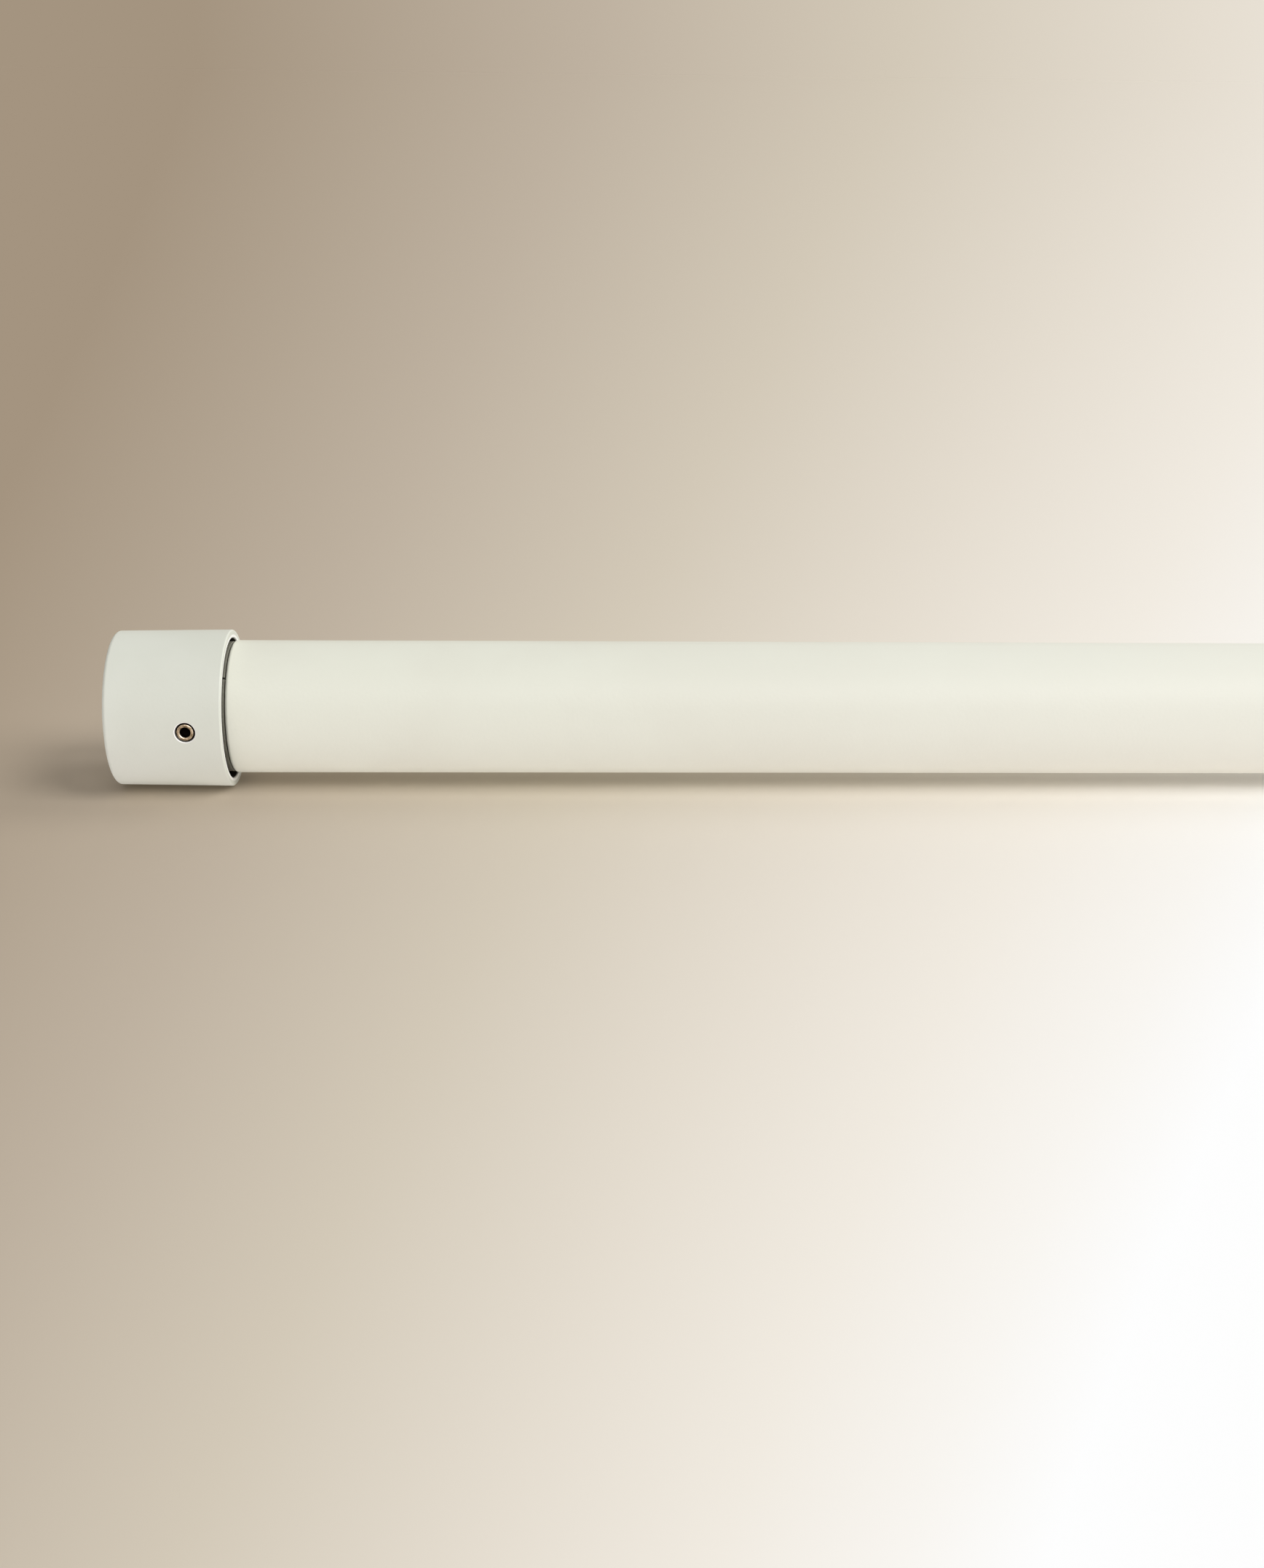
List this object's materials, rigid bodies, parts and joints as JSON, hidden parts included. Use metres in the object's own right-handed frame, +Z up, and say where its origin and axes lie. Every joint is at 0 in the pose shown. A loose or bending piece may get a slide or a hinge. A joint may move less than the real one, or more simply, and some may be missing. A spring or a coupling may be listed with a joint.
{
  "type": "extendable curtain rod",
  "caption": "Round telescopic curtain rod, pushed together, with a slightly thicker closed cap on each end, held by a grub screw.",
  "frame": {"origin": "on the tubes' common axis, halfway along the outer tube, where brackets carry it", "axes": "+X along the rod towards the outer tube's closed end, +Z up, and the grub screws face -Y"},
  "size_m": [1.2, 0.0332, 0.033],
  "materials": {
    "tube_paint": "satin",
    "inner_tube_paint": "satin",
    "cap_paint": "satin",
    "sleeve_plastic": "matte",
    "bush_plastic": "matte",
    "plated_screw": "satin"
  },
  "bodies": {
    "outer": {"outer_tube": "tube_paint", "end_cap_right": "cap_paint"},
    "glide": {"glide_bush": "bush_plastic"},
    "inner": {"inner_tube": "inner_tube_paint", "adapter_sleeve": "sleeve_plastic", "end_cap_left": "cap_paint"},
    "left_screw": {"grub_screw_left": "plated_screw"},
    "right_screw": {"grub_screw_right": "plated_screw"}
  },
  "joints": [
    {"name": "extend", "type": "slide", "parent": "outer", "child": "glide", "axis": [-1, 0, 0], "range_m": [0, 0.9]},
    {"name": "inner_turn", "type": "hinge", "parent": "glide", "child": "inner", "pos_m": [0, 0, 0], "axis": [1, 0, 0], "continuous": true},
    {"name": "left_screw_turn", "type": "hinge", "parent": "inner", "child": "left_screw", "pos_m": [-0.59427, -0.0145, 0], "axis": [0, -1, 0], "range_deg": [0, 720]},
    {"name": "right_screw_turn", "type": "hinge", "parent": "outer", "child": "right_screw", "pos_m": [0.57232, -0.0145, 0], "axis": [0, -1, 0], "range_deg": [0, 720]}
  ]
}
